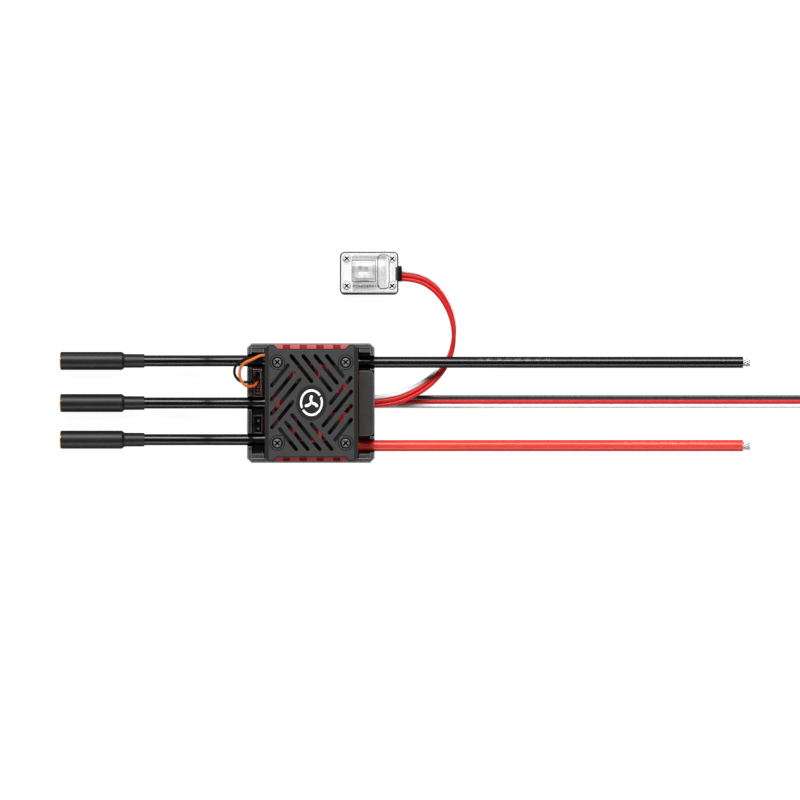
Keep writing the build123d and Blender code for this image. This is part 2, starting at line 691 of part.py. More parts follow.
def make_switch_cover():
    lid = block(BOX_EDGE_X, BOX_EDGE_Y, (BOX_SPLIT, BOX_TOP))
    lid = fillet(upright_edges(lid), 1.6)
    lid = fillet(lid.faces().sort_by(Axis.Z)[-1].edges(), 0.6)
    inside_x = (BOX_EDGE_X[0] + BOX_WALL, BOX_EDGE_X[1] - BOX_WALL)
    inside_y = (BOX_EDGE_Y[0] + BOX_WALL, BOX_EDGE_Y[1] - BOX_WALL)
    lid -= block(inside_x, inside_y, (BOX_SPLIT - 1, BOX_TOP - 1.0))
    for x, y in BOX_SCREWS:
        lid += post(x, y, BOX_SPLIT, BOX_TOP - 1.0, 1.7)

    # Raised pad round the button and a raised bar across the cable end.
    bx, by = BUTTON_MID
    pad = block((bx - 3.8, bx + 3.8), (by - 3.5, by + 3.5), (BOX_TOP - 0.5, BOX_TOP + 0.3))
    lid += chamfer(pad.faces().sort_by(Axis.Z)[-1].edges(), 0.2)
    bar_x = (21.2, 25.05)
    bar = block(bar_x, (36.4, 47.4), (BOX_TOP - 0.5, BOX_TOP + 0.35))
    bar = fillet(upright_edges(bar), 1.4)
    lid += chamfer(bar.faces().sort_by(Axis.Z)[-1].edges(), 0.25)

    # Screw holes and pockets, the button's window and the grommet's slot.
    for x, y in BOX_SCREWS:
        lid -= post(x, y, BOX_SPLIT - 1, BOX_TOP + 1, 0.75)
        lid -= post(x, y, BOX_TOP - 0.8, BOX_TOP + 1, 1.35)
    hole_x = BUTTON_X / 2 + BUTTON_GAP
    hole_y = BUTTON_Y / 2 + BUTTON_GAP
    lid -= block((bx - hole_x, bx + hole_x), (by - hole_y, by + hole_y), (BOX_TOP - 2, 9))
    lid -= block((BOX_EDGE_X[1] - 1.8, BOX_EDGE_X[1] + 1), GROMMET_Y, (BOX_SPLIT - 1, GROMMET_Z[1]))
    return lid


def make_switch_pcb():
    return block((13.2, 24.1), (35.7, 47.1), (BOX_SPLIT, BOX_SPLIT + 0.8))


def make_switch_tact():
    z0 = BOX_SPLIT + 0.8
    plunger_top = BUTTON_BOTTOM - BUTTON_TRAVEL - 0.05
    body = block((15.0, 18.6), (39.3, 41.9), (z0, z0 + 1.1))
    return body + post(16.8, 40.6, z0 + 1.1, plunger_top, 0.8)


def make_switch_leds():
    z = (BOX_SPLIT + 0.8, BOX_SPLIT + 1.5)
    return group("switch_leds", [
        block((15.1, 16.4), (42.2, 43.7), z),
        block((17.0, 18.2), (42.2, 43.5), z),
    ])


def make_switch_button():
    bx, by = BUTTON_MID
    half_x, half_y = BUTTON_X / 2, BUTTON_Y / 2
    flange_z = (BUTTON_BOTTOM, BUTTON_BOTTOM + 0.6)
    cap = block((bx - half_x, bx + half_x), (by - half_y, by + half_y), (flange_z[0], BUTTON_TOP))
    cap = fillet(upright_edges(cap), 0.7)
    cap = fillet(cap.faces().sort_by(Axis.Z)[-1].edges(), 0.4)
    flange = block((bx - half_x - 0.4, bx + half_x + 0.4),
                   (by - half_y - 0.4, by + half_y + 0.4), flange_z)
    return cap + flange


def make_switch_screws():
    seat = BOX_TOP - 0.8
    screws = [phillips_screw(x, y, seat, 1.25, 0.75, 0.6, 0.8) for x, y in BOX_SCREWS]
    return group("switch_screws", screws)


def make_switch_grommet():
    grommet = block((27.7, 29.0), GROMMET_Y, GROMMET_Z)
    grommet = fillet(grommet.edges().filter_by(Axis.X), 0.5)
    neck = block((26.95, 27.7), (39.1, 43.4), (2.25, 4.75))
    return grommet + neck - block((27.4, 30), (38.95, 43.05), (2.6, 4.4))


# -------------------------------------------------------------- write every node
def main():
    save("base_shell", make_base_shell())
    save("terminal_cover", make_terminal_cover())
    save("case_screws", make_case_screws())
    save("control_pcb", board(15.8, 15.8, CONTROL_PCB_Z))
    save("control_parts", make_control_parts())
    save("cable_clamp", make_cable_clamp())
    save("power_pcb", board(18.6, 17.3, POWER_PCB_Z))
    save("mosfets", make_mosfets())
    save("capacitors", make_capacitors())
    save("board_header", make_board_header())
    save("solder_pads", make_solder_pads())
    save("thermal_pad", make_thermal_pad())
    save("heatsink", make_heatsink())
    save("fan_frame", make_fan_frame())
    save("fan_bearing", make_fan_bearing())
    save("fan_stator", make_fan_stator())
    save("fan_rotor", make_fan_rotor())
    save("fan_magnet", make_fan_magnet())
    save("fan_shaft", make_fan_shaft())
    save("fan_guard", make_fan_guard())
    save("guard_badge", make_guard_badge())
    save("badge_emblem", make_badge_emblem())
    save("guard_screws", make_guard_screws())
    save("fan_header", make_fan_header())
    save("fan_pins", make_fan_pins())
    save("fan_plug", make_fan_plug())
    save("fan_lead_orange", make_fan_lead("fan_lead_orange", ORANGE_ROUTE))
    save("fan_lead_black", make_fan_lead("fan_lead_black", BLACK_ROUTE))
    save("port_housing", make_port_housing())
    save("port_pins", make_port_pins())
    for name in MOTOR_LEAD_Y:
        save(f"motor_wire_{name}", make_motor_wire(name))
        save(f"bullet_{name}", make_bullet(name))
        save(f"shrink_{name}", make_shrink(name))
    for name in POWER_LEAD_Y:
        save(f"power_wire_{name}", make_power_wire(name))
        save(f"power_tip_{name}", make_power_tip(name))
    for colour, place in (("black", 1), ("red", 0), ("white", -1)):
        save(f"receiver_{colour}", make_receiver_core(f"receiver_{colour}", place))
    save("receiver_plug", make_receiver_plug())
    save("receiver_contacts", make_receiver_contacts())
    for colour, place in (("white", 1), ("red_mid", 0), ("red_outer", -1)):
        save(f"switch_{colour}", make_switch_core(f"switch_{colour}", place))
    save("switch_base", make_switch_base())
    save("switch_cover", make_switch_cover())
    save("switch_pcb", make_switch_pcb())
    save("switch_tact", make_switch_tact())
    save("switch_leds", make_switch_leds())
    save("switch_button", make_switch_button())
    save("switch_screws", make_switch_screws())
    save("switch_grommet", make_switch_grommet())


main()
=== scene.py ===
"""Looks for the motor speed controller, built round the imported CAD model. Metres."""

import math
import random

import bmesh
import bpy
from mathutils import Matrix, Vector


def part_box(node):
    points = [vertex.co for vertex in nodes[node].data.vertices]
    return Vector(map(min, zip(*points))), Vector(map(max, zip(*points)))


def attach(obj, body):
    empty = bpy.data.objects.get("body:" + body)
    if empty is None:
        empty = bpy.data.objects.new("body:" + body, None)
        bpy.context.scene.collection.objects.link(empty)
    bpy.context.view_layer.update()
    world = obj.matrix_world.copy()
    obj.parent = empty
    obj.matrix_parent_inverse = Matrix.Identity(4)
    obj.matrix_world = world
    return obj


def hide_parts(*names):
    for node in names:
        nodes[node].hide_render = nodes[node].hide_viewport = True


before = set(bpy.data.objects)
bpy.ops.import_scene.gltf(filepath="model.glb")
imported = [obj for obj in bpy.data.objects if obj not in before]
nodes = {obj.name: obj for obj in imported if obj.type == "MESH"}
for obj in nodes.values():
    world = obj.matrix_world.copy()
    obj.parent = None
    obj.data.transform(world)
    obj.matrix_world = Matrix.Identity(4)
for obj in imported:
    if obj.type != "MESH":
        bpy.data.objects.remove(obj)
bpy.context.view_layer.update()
scene = bpy.context.scene
MM = 0.001

# Heights and places of the CAD parts that the materials and lights go by.
CASE_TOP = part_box("base_shell")[1].z
RAIL_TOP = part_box("heatsink")[1].z
GUARD_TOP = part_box("fan_guard")[1].z
GUARD_SCREW_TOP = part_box("guard_screws")[1].z
SWITCH_SCREW_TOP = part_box("switch_screws")[1].z
SWITCH_WALL = (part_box("switch_cover")[0].y, 0.8 * MM)
FINS_HALF = 16.6 * MM                # the fins under the fan reach this far to either side

# ------------------------------------------------------------------------- camera
VIEW_WIDTH = 0.2556                  # what the picture covers, side to side
VIEW_MIDDLE = (0.0284, 0.00096)      # the point straight under the camera
LENS, SENSOR = 600.0, 36.0           # millimetres; a long lens keeps the plan square
EYE_HEIGHT = VIEW_WIDTH * LENS / SENSOR


def make_camera():
    """A camera straight above, which covers what the picture covers."""
    data = bpy.data.cameras.new("overhead")
    data.lens, data.sensor_width = LENS, SENSOR
    data.clip_start, data.clip_end = 0.1, 50.0
    camera = bpy.data.objects.new("overhead", data)
    camera.location = (*VIEW_MIDDLE, EYE_HEIGHT)
    scene.collection.objects.link(camera)
    scene.camera = camera


make_camera()


# -------------------------------------------------------------------- node helpers
class Surface:
    """A Principled material whose colour, roughness and relief come from noise."""

    def __init__(self, name, roughness, metallic=0.0, **sockets):
        self.material = bpy.data.materials.new(name)
        self.material.use_nodes = True
        self.tree = self.material.node_tree
        self.shader = self.tree.nodes["Principled BSDF"]
        self.shader.inputs["Roughness"].default_value = roughness
        self.shader.inputs["Metallic"].default_value = metallic
        for label, value in sockets.items():
            self.shader.inputs[label.replace("_", " ")].default_value = value
        place = self.add("ShaderNodeTexCoord")
        self.where, self.facing = place.outputs["Object"], place.outputs["Normal"]

    def add(self, kind, **settings):
        """A new shader node."""
        node = self.tree.nodes.new(kind)
        for key, value in settings.items():
            setattr(node, key, value)
        return node

    def link(self, source, target):
        """Feeds an output into an input."""
        self.tree.links.new(source, target)

    def math(self, operation, a, b=None, clamp=False):
        """A sum on numbers or outputs."""
        node = self.add("ShaderNodeMath", operation=operation, use_clamp=clamp)
        for place, value in enumerate((a, b)):
            if isinstance(value, (int, float)):
                node.inputs[place].default_value = value
            elif value is not None:
                self.link(value, node.inputs[place])
        return node.outputs[0]

    def noise(self, feature, detail=3.0, stretch=(1, 1, 1)):
        """Noise whose blotches are about feature metres across."""
        mapping = self.add("ShaderNodeMapping")
        mapping.inputs["Scale"].default_value = stretch
        self.link(self.where, mapping.inputs["Vector"])
        noise = self.add("ShaderNodeTexNoise")
        noise.inputs["Scale"].default_value = 1.0 / feature
        noise.inputs["Detail"].default_value = detail
        self.link(mapping.outputs[0], noise.inputs["Vector"])
        return noise.outputs["Fac"]

    def ramp(self, factor, low, high):
        """Factor mapped to a blend of two colours, over the middle of a noise's range."""
        ramp = self.add("ShaderNodeValToRGB")
        stops = ramp.color_ramp.elements
        for stop, position, colour in zip(stops, (0.3, 0.7), (low, high)):
            stop.position = position
            stop.color = (*colour, 1)
        self.link(factor, ramp.inputs["Fac"])
        return ramp.outputs["Color"]

    def between(self, factor, low, high):
        """Factor from 0 to 1 mapped to a number between low and high."""
        node = self.add("ShaderNodeMapRange")
        node.inputs["To Min"].default_value = low
        node.inputs["To Max"].default_value = high
        self.link(factor, node.inputs["Value"])
        return node.outputs["Result"]

    def mix(self, factor, a, b):
        """A where factor is 0 and b where it is 1; each is a colour or an output."""
        node = self.add("ShaderNodeMix", data_type="RGBA")
        for label, value in (("A", a), ("B", b)):
            socket = [s for s in node.inputs if s.name == label and s.type == "RGBA"][0]
            if isinstance(value, tuple):
                socket.default_value = (*value, 1)
            else:
                self.link(value, socket)
        self.link(factor, node.inputs["Factor"])
        return [s for s in node.outputs if s.type == "RGBA"][0]

    def colour(self, output):
        """Sets the surface's colour."""
        self.link(output, self.shader.inputs["Base Color"])
        return self

    def rough(self, output):
        """Sets the surface's roughness."""
        self.link(output, self.shader.inputs["Roughness"])
        return self

    def relief(self, height, depth, rounding=None):
        """Bump of about depth metres, over edges that look rounded by that radius."""
        bump = self.add("ShaderNodeBump")
        bump.inputs["Distance"].default_value = depth
        self.link(height, bump.inputs["Height"])
        if rounding is not None:
            self.link(self.rounded(rounding), bump.inputs["Normal"])
        self.link(bump.outputs["Normal"], self.shader.inputs["Normal"])
        return self

    def rounded(self, radius):
        """The normal that the surface would have with its edges rounded off."""
        bevel = self.add("ShaderNodeBevel", samples=6)
        bevel.inputs["Radius"].default_value = radius
        return bevel.outputs["Normal"]

    def edges(self, radius, gain):
        """0 on open faces, rising to 1 along edges."""
        flat = self.add("ShaderNodeNewGeometry").outputs["Normal"]
        dot = self.add("ShaderNodeVectorMath", operation="DOT_PRODUCT")
        self.link(self.rounded(radius), dot.inputs[0])
        self.link(flat, dot.inputs[1])
        turned = self.math("SUBTRACT", 1.0, dot.outputs["Value"])
        return self.math("MULTIPLY", turned, gain, clamp=True)

    def component(self, vector, name):
        """The X, Y or Z part of a vector."""
        split = self.add("ShaderNodeSeparateXYZ")
        self.link(vector, split.inputs[0])
        return split.outputs[name]

    def axis(self, name):
        """One coordinate of the surface point, in metres."""
        return self.component(self.where, name)

    def faces(self, name):
        """How far the surface faces along X, Y or Z, from -1 to 1."""
        return self.component(self.facing, name)

    def step_between(self, value, low, high):
        """1 where low < value < high, else 0."""
        above = self.math("GREATER_THAN", value, low)
        below = self.math("LESS_THAN", value, high)
        return self.math("MULTIPLY", above, below)


def shade(value):
    """A neutral colour."""
    return (value, value, value)


def dress(names, surface):
    """Gives the named CAD nodes this material."""
    for name in names:
        data = nodes[name].data
        data.materials.clear()
        data.materials.append(surface.material)


# ----------------------------------------------------------------------- materials
LEVEL, STEEP = 0.9, 0.3              # a bevelled face's normal has a Z between these
MOTTLE = 3.0 * MM
ROUNDING = 0.15 * MM                 # radius that edges seem rounded to


def moulded(name, colour, roughness, grain=0.35 * MM, depth=0.012 * MM, spread=0.12,
            edge_highlight=None, edge_radius=0.2 * MM, gain=3.2, slope_shading=None, lit_tops=None, lit_ends=None,
            sunk_shade=None, **sockets):
    """Moulded plastic: fine grain and a slight mottle.

    edge_highlight is the tone of a painted highlight along edges, and slope_shading the painted
    shade or highlight on bevelled faces. lit_tops is (low, high, tone), a painted highlight on the
    level faces between two heights. lit_ends, (y, tone), paints the same highlight on the level
    faces that lie beyond y on either side. sunk_shade is (low, high, tone), painted shade on the
    bottoms of recesses, which keep no painted highlight along their edges.
    """
    surface = Surface(name, roughness, **sockets)
    grain_noise = surface.noise(grain, detail=4.0)
    mottle = surface.noise(MOTTLE, detail=2.0)
    low = tuple(c * (1 - spread) for c in colour)
    high = tuple(c * (1 + spread) for c in colour)
    base = surface.ramp(mottle, low, high)
    # painted shade or highlight on bevelled faces, for how light falls on them
    if slope_shading is not None:
        base = surface.mix(surface.step_between(surface.faces("Z"), STEEP, LEVEL), base, slope_shading)
    level = surface.math("GREATER_THAN", surface.faces("Z"), LEVEL)
    # painted highlight on the level faces between two heights
    if lit_tops is not None:
        layer = surface.step_between(surface.axis("Z"), lit_tops[0], lit_tops[1])
        base = surface.mix(surface.math("MULTIPLY", level, layer), base, lit_tops[2])
    # painted highlight on the level faces beyond y, on either side
    if lit_ends is not None:
        beyond = surface.math("GREATER_THAN", surface.math("ABSOLUTE", surface.axis("Y")), lit_ends[0])
        base = surface.mix(surface.math("MULTIPLY", level, beyond), base, lit_ends[1])
    # painted highlight along edges
    if edge_highlight is not None:
        base = surface.mix(surface.edges(edge_radius, gain), base, edge_highlight)
    # painted shade on the bottoms of recesses
    if sunk_shade is not None:
        layer = surface.step_between(surface.axis("Z"), sunk_shade[0], sunk_shade[1])
        base = surface.mix(surface.math("MULTIPLY", level, layer), base, sunk_shade[2])
    surface.colour(base)
    surface.rough(surface.between(grain_noise, roughness - 0.06, roughness + 0.08))
    return surface.relief(grain_noise, depth, ROUNDING)


def anodised_red():
    """Red anodising: darker red on the lower faces beside the fan as painted shade, brighter red on
    the fins under it as painted light, and paler upper faces of the rails, which stand for bare metal
    left by machining and a painted highlight.
    """
    surface = Surface("anodised_red", 0.4)
    along = surface.noise(0.25 * MM, detail=3.0, stretch=(1, 0.06, 1))
    tone = surface.noise(4.0 * MM, detail=2.0)
    painted_gap_shade = surface.ramp(tone, (0.28, 0.003, 0.006), (0.36, 0.006, 0.01))
    painted_fin_light = surface.ramp(tone, (0.85, 0.012, 0.025), (1.0, 0.02, 0.04))
    pale = surface.ramp(along, (0.6, 0.08, 0.083), (0.7, 0.115, 0.12))
    under_fan = surface.step_between(surface.axis("Y"), -FINS_HALF, FINS_HALF)
    machined_sheen_top = surface.math("GREATER_THAN", surface.axis("Z"), RAIL_TOP - 0.4 * MM)
    # the fins under the fan are painted brighter red, as light that hardly reaches them, and the
    # lower faces beside it darker red, as shade
    base = surface.mix(under_fan, painted_gap_shade, painted_fin_light)
    # the paler upper faces of the rails: bare metal left by machining, and a painted highlight
    surface.colour(surface.mix(machined_sheen_top, base, pale))
    surface.link(surface.between(under_fan, 0.3, 0.0), surface.shader.inputs["Metallic"])
    surface.rough(surface.between(along, 0.34, 0.52))
    return surface.relief(along, 0.008 * MM, 0.12 * MM)


def metal(name, colour, roughness, grain=0.2 * MM, depth=0.004 * MM, spread=0.1,
          edge_light_gain=2.0, edge_light_radius=0.12 * MM, recess_shade=None):
    """Bare or plated metal with faint handling marks.

    edge_light_gain scales the colour along its edges: above 1 it is a painted highlight, below 1
    painted shade. recess_shade is (low, high), the heights of a hollow painted dark as shade.
    """
    surface = Surface(name, roughness, metallic=1.0)
    marks = surface.noise(grain, detail=5.0)
    tone = surface.noise(2.0 * MM, detail=2.0)
    low = tuple(c * (1 - spread) for c in colour)
    high = tuple(min(c * (1 + spread), 1.0) for c in colour)
    base = surface.ramp(tone, low, high)
    # edges painted brighter as a highlight, and darker as shade where the gain is below 1
    worn = tuple(min(c * edge_light_gain, 1.0) for c in colour)
    base = surface.mix(surface.edges(edge_light_radius, gain=1.6), base, worn)
    # the hollow painted dark, as shade
    if recess_shade is not None:
        recess_shade_mask = surface.step_between(surface.axis("Z"), *recess_shade)
        base = surface.mix(recess_shade_mask, base, shade(0.004))
    surface.colour(base)
    surface.rough(surface.between(marks, roughness * 0.7, roughness * 1.4))
    return surface.relief(marks, depth, 0.08 * MM)


def tinned_strands():
    """Copper strands under a dull, slightly uneven tin skin."""
    surface = Surface("tinned_strands", 0.35, metallic=0.9)
    skin = surface.noise(0.4 * MM, detail=4.0)
    surface.colour(surface.ramp(skin, shade(0.2), shade(0.42)))
    surface.rough(surface.between(skin, 0.28, 0.48))
    return surface.relief(skin, 0.02 * MM)


def film(tone):
    """Shader settings of a thin tinted skin, which darkens a gloss towards its rims."""
    return {"Coat_Weight": 1.0, "Coat_IOR": 1.02, "Coat_Roughness": 0.2, "Coat_Tint": (*tone, 1.0)}


def silicone(name, low, high, ior, skin, printed=None, ink=0.4):
    """Soft glossy insulation.

    printed is (start, end, side): a row of small worn ink dashes runs from start to end
    along X, on the lead whose middle line lies at Y = side.
    """
    surface = Surface(name, 0.2, IOR=ior, **film(skin))
    dust = surface.noise(1.5 * MM, detail=4.0, stretch=(0.2, 1, 1))
    base = surface.ramp(dust, low, high)
    if printed is not None:
        start, end, side = printed
        dash_pitch, dash_part = 3.1 * MM, 0.62
        row_low, row_high = side + 0.5 * MM, side + 1.2 * MM
        along, across = surface.axis("X"), surface.axis("Y")
        phase = surface.math("FRACT", surface.math("DIVIDE", along, dash_pitch))
        dash = surface.math("LESS_THAN", phase, dash_part)
        stretch = surface.step_between(along, start, end)
        band = surface.step_between(across, row_low, row_high)
        worn = surface.math("GREATER_THAN", surface.noise(0.5 * MM, detail=2.0), 0.47)
        mask = surface.math("MULTIPLY", surface.math("MULTIPLY", dash, stretch),
                            surface.math("MULTIPLY", band, worn))
        base = surface.mix(surface.math("MULTIPLY", mask, ink), base, shade(0.6))
    surface.colour(base)
    surface.rough(surface.between(dust, 0.19, 0.26))
    return surface.relief(surface.noise(1.0 * MM, detail=1.0), 0.0008 * MM)


def vinyl(name, colour, skin, roughness=0.3, ior=1.38):
    """Thin lead insulation with a slight unevenness along its length."""
    surface = Surface(name, roughness, IOR=ior, **film(skin))
    wave = surface.noise(1.5 * MM, detail=3.0)
    low = tuple(c * 0.9 for c in colour)
    high = tuple(min(c * 1.08, 1.0) for c in colour)
    surface.colour(surface.ramp(wave, low, high))
    surface.rough(surface.between(wave, roughness - 0.05, roughness + 0.06))
    return surface.relief(surface.noise(0.8 * MM, detail=1.0), 0.001 * MM)


def heat_shrink():
    """Sleeve shrunk on: satin, with fine lengthwise wrinkles."""
    surface = Surface("heat_shrink", 0.46, IOR=1.75, **film(shade(0.4)))
    wrinkle = surface.noise(0.5 * MM, detail=4.0, stretch=(0.1, 1, 1))
    dust = surface.noise(2.5 * MM, detail=3.0)
    surface.colour(surface.ramp(dust, shade(0.009), shade(0.016)))
    surface.rough(surface.between(wrinkle, 0.38, 0.48))
    return surface.relief(wrinkle, 0.004 * MM, ROUNDING)


def clear_plastic(name, tint, roughness, cover, rim_shade, rim_cover, wall=None):
    """Clear moulding: see-through faces, and denser rims where its walls turn over, painted darker
    as shade.

    wall is (y, thickness) of a side wall that is looked down through, painted dark as shade.
    """
    surface = Surface(name, roughness)
    haze = surface.noise(2.0 * MM, detail=3.0)
    turned = surface.step_between(surface.faces("Z"), 0.12, 0.96)
    edges = surface.math("MAXIMUM", turned, surface.edges(0.22 * MM, gain=2.6))
    if wall is not None:
        above = surface.step_between(surface.axis("Y"), wall[0], wall[0] + wall[1])
        edges = surface.math("MAXIMUM", edges, surface.math("MULTIPLY", above, 0.95))
    pale = surface.ramp(haze, shade(tint - 0.03), shade(tint))
    # the rims and the wall looked down through are painted darker, as shade
    surface.colour(surface.mix(edges, pale, shade(rim_shade)))
    sideways = surface.math("ABSOLUTE", surface.faces("Y"))
    density = surface.math("ADD", surface.math("MULTIPLY", sideways, 0.5), rim_cover, clamp=True)
    gloss = surface.add("ShaderNodeFresnel")
    gloss.inputs["IOR"].default_value = 1.45
    open_faces = surface.math("ADD", surface.between(haze, cover - 0.01, cover + 0.01),
                              gloss.outputs["Fac"])
    solid = surface.math("MAXIMUM", open_faces, surface.math("MULTIPLY", edges, density))
    surface.link(solid, surface.shader.inputs["Alpha"])
    surface.rough(surface.between(haze, roughness * 0.6, roughness * 1.5))
    return surface.relief(surface.noise(0.8 * MM), 0.001 * MM)


def solder_mask(name, colour, trace):
    """Coated board with faint buried tracks."""
    track_gap, track_width = 1.6 * MM, 0.06
    surface = Surface(name, 0.35, Coat_Weight=0.3)
    cells = surface.add("ShaderNodeTexVoronoi", feature="DISTANCE_TO_EDGE")
    cells.inputs["Scale"].default_value = 1.0 / track_gap
    surface.link(surface.where, cells.inputs["Vector"])
    track = surface.math("LESS_THAN", cells.outputs["Distance"], track_width)
    surface.colour(surface.mix(track, colour, trace))
    return surface.relief(track, 0.01 * MM)


def coil_copper():
    """Turns of enamelled wire, drawn as fine bands."""
    fineness = 1200.0
    surface = Surface("coil_copper", 0.3, metallic=1.0)
    wave = surface.add("ShaderNodeTexWave", bands_direction="Z")
    wave.inputs["Scale"].default_value = fineness
    surface.link(surface.where, wave.inputs["Vector"])
    surface.colour(surface.ramp(wave.outputs["Fac"], (0.3, 0.11, 0.04), (0.75, 0.36, 0.16)))
    return surface.relief(wave.outputs["Fac"], 0.05 * MM)


# Start and end along X, and the lead's Y, of the print on the two power leads.
BLACK_PRINT = (53.5 * MM, 78.0 * MM, 13.0 * MM)
RED_PRINT = (100.0 * MM, 126.0 * MM, -13.6 * MM)
SILICONE_BLACKS = (shade(0.0006), shade(0.0015))
SILICONE_REDS = ((0.68, 0.1, 0.075), (0.73, 0.12, 0.09))

# The case's edges, bevels, upper faces and corner lugs are painted lighter, as highlights.
CASE = moulded("case_black", shade(0.006), 0.26, grain=0.5 * MM, depth=0.003 * MM,
               edge_highlight=shade(0.42), edge_radius=0.2 * MM, gain=5.0, slope_shading=shade(0.12),
               lit_tops=(CASE_TOP - 0.6 * MM, CASE_TOP + 0.1 * MM, shade(0.02)),
               lit_ends=(15.0 * MM, shade(0.055)))
# The guard's edges are painted lighter as a highlight; its bevels and the bottoms of its recesses
# darker, as painted shade.
GUARD = moulded("guard_grey", shade(0.033), 0.5, grain=0.22 * MM, depth=0.008 * MM, spread=0.05,
                edge_highlight=shade(0.075), edge_radius=0.16 * MM, gain=5.0, slope_shading=shade(0.009),
                sunk_shade=(GUARD_TOP - 2.0 * MM, GUARD_TOP - 0.05 * MM, shade(0.001)),
                Specular_IOR_Level=0.2)
# The tones along the edges of the cover, fan, plugs and port below are painted highlights; so are the
# cover's lighter bevels.
COVER = moulded("cover_grey", shade(0.034), 0.6, grain=0.16 * MM, depth=0.12 * MM, spread=0.1,
                edge_highlight=shade(0.2), edge_radius=0.25 * MM, gain=5.0, slope_shading=shade(0.1),
                Specular_IOR_Level=0.2)
BADGE = moulded("badge_black", shade(0.006), 0.38, grain=0.3 * MM, depth=0.004 * MM)
MARK = moulded("mark_white", shade(0.8), 0.45, grain=0.3 * MM, depth=0.002 * MM, spread=0.03)
FAN = moulded("fan_black", shade(0.0035), 0.45, grain=0.4 * MM, depth=0.004 * MM,
              edge_highlight=shade(0.03), edge_radius=0.2 * MM, gain=5.0, Specular_IOR_Level=0.08)
PLUG = moulded("plug_black", shade(0.006), 0.32, grain=0.3 * MM, depth=0.004 * MM,
               edge_highlight=(0.9, 0.68, 0.62), edge_radius=0.22 * MM, gain=4.0)
PORT = moulded("port_black", shade(0.006), 0.32, grain=0.3 * MM, depth=0.004 * MM,
               edge_highlight=shade(0.2), edge_radius=0.2 * MM, gain=2.6)
LEAD_PLUG = moulded("lead_plug_black", shade(0.01), 0.5, grain=0.25 * MM, depth=0.006 * MM,
                    edge_highlight=shade(0.05), Specular_IOR_Level=0.2)
CHIP = moulded("chip_black", shade(0.02), 0.5, grain=0.2 * MM, depth=0.01 * MM)
PAD = moulded("pad_grey", (0.3, 0.33, 0.37), 0.7)
GROMMET = moulded("grommet_black", shade(0.002), 0.3, Specular_IOR_Level=0.2)
RED_METAL = anodised_red()
# The guard screws' edges are painted darker as shade, the other metals' edges brighter as highlights;
# the guard and switch screws are painted dark, as shade, below the tops of their heads.
GUARD_SCREW = metal("screw_black", shade(0.26), 0.45, edge_light_gain=0.15, edge_light_radius=0.35 * MM,
                    recess_shade=(GUARD_SCREW_TOP - 5 * MM, GUARD_SCREW_TOP - 0.25 * MM))
CASE_SCREW = metal("screw_case", shade(0.16), 0.42)
STEEL_SCREW = metal("screw_steel", shade(0.95), 0.45,
                    recess_shade=(SWITCH_SCREW_TOP - 5 * MM, SWITCH_SCREW_TOP - 0.2 * MM))
STEEL = metal("shaft_steel", shade(0.6), 0.2)
MAGNET = metal("magnet_grey", shade(0.16), 0.5)
BRONZE = metal("bronze", (0.45, 0.28, 0.12), 0.4)
GOLD = metal("gold", (0.83, 0.56, 0.2), 0.24)
PIN = metal("pin_tin", shade(0.3), 0.3)
ALUMINIUM = metal("can_silver", shade(0.62), 0.3)
SOLDER = metal("tin", shade(0.66), 0.34, grain=0.5 * MM, depth=0.02 * MM)
TINNED = tinned_strands()
COPPER = coil_copper()
BOARD = solder_mask("board_green", (0.004, 0.012, 0.008), (0.008, 0.022, 0.014))
SWITCH_BOARD = solder_mask("board_white", shade(0.93), shade(0.89))
LED = moulded("led_lens", shade(0.24), 0.3)
# The tones at the turned-over walls of the clear box and the frosted button are painted shade.
CLEAR = clear_plastic("box_clear", tint=0.98, roughness=0.06, cover=0.02, rim_shade=0.003,
                      rim_cover=0.85, wall=SWITCH_WALL)
FROSTED = clear_plastic("button_frosted", tint=0.97, roughness=0.2, cover=0.16, rim_shade=0.55,
                        rim_cover=0.3)
SLEEVE = heat_shrink()
MOTOR_SILICONE = silicone("motor_silicone", *SILICONE_BLACKS, ior=2.3, skin=shade(0.28))
BLACK_SILICONE = silicone("power_silicone_black", *SILICONE_BLACKS, ior=2.3, skin=shade(0.28),
                          printed=BLACK_PRINT, ink=0.6)
RED_SILICONE = silicone("power_silicone_red", *SILICONE_REDS, ior=1.7, skin=(0.82, 0.42, 0.4),
                        printed=RED_PRINT)
CORE_BLACK = vinyl("core_black", shade(0.002), skin=shade(0.3), roughness=0.24, ior=2.3)
CORE_RED = vinyl("core_red", (0.56, 0.026, 0.028), skin=(0.85, 0.45, 0.45), ior=1.5)
CORE_WHITE = vinyl("core_white", shade(0.78), skin=shade(0.8))
LEAD_ORANGE = vinyl("lead_orange", (0.6, 0.215, 0.05), skin=(0.92, 0.7, 0.55), roughness=0.4)
LEAD_BROWN = vinyl("lead_brown", (0.014, 0.008, 0.006), skin=shade(0.5), roughness=0.4)

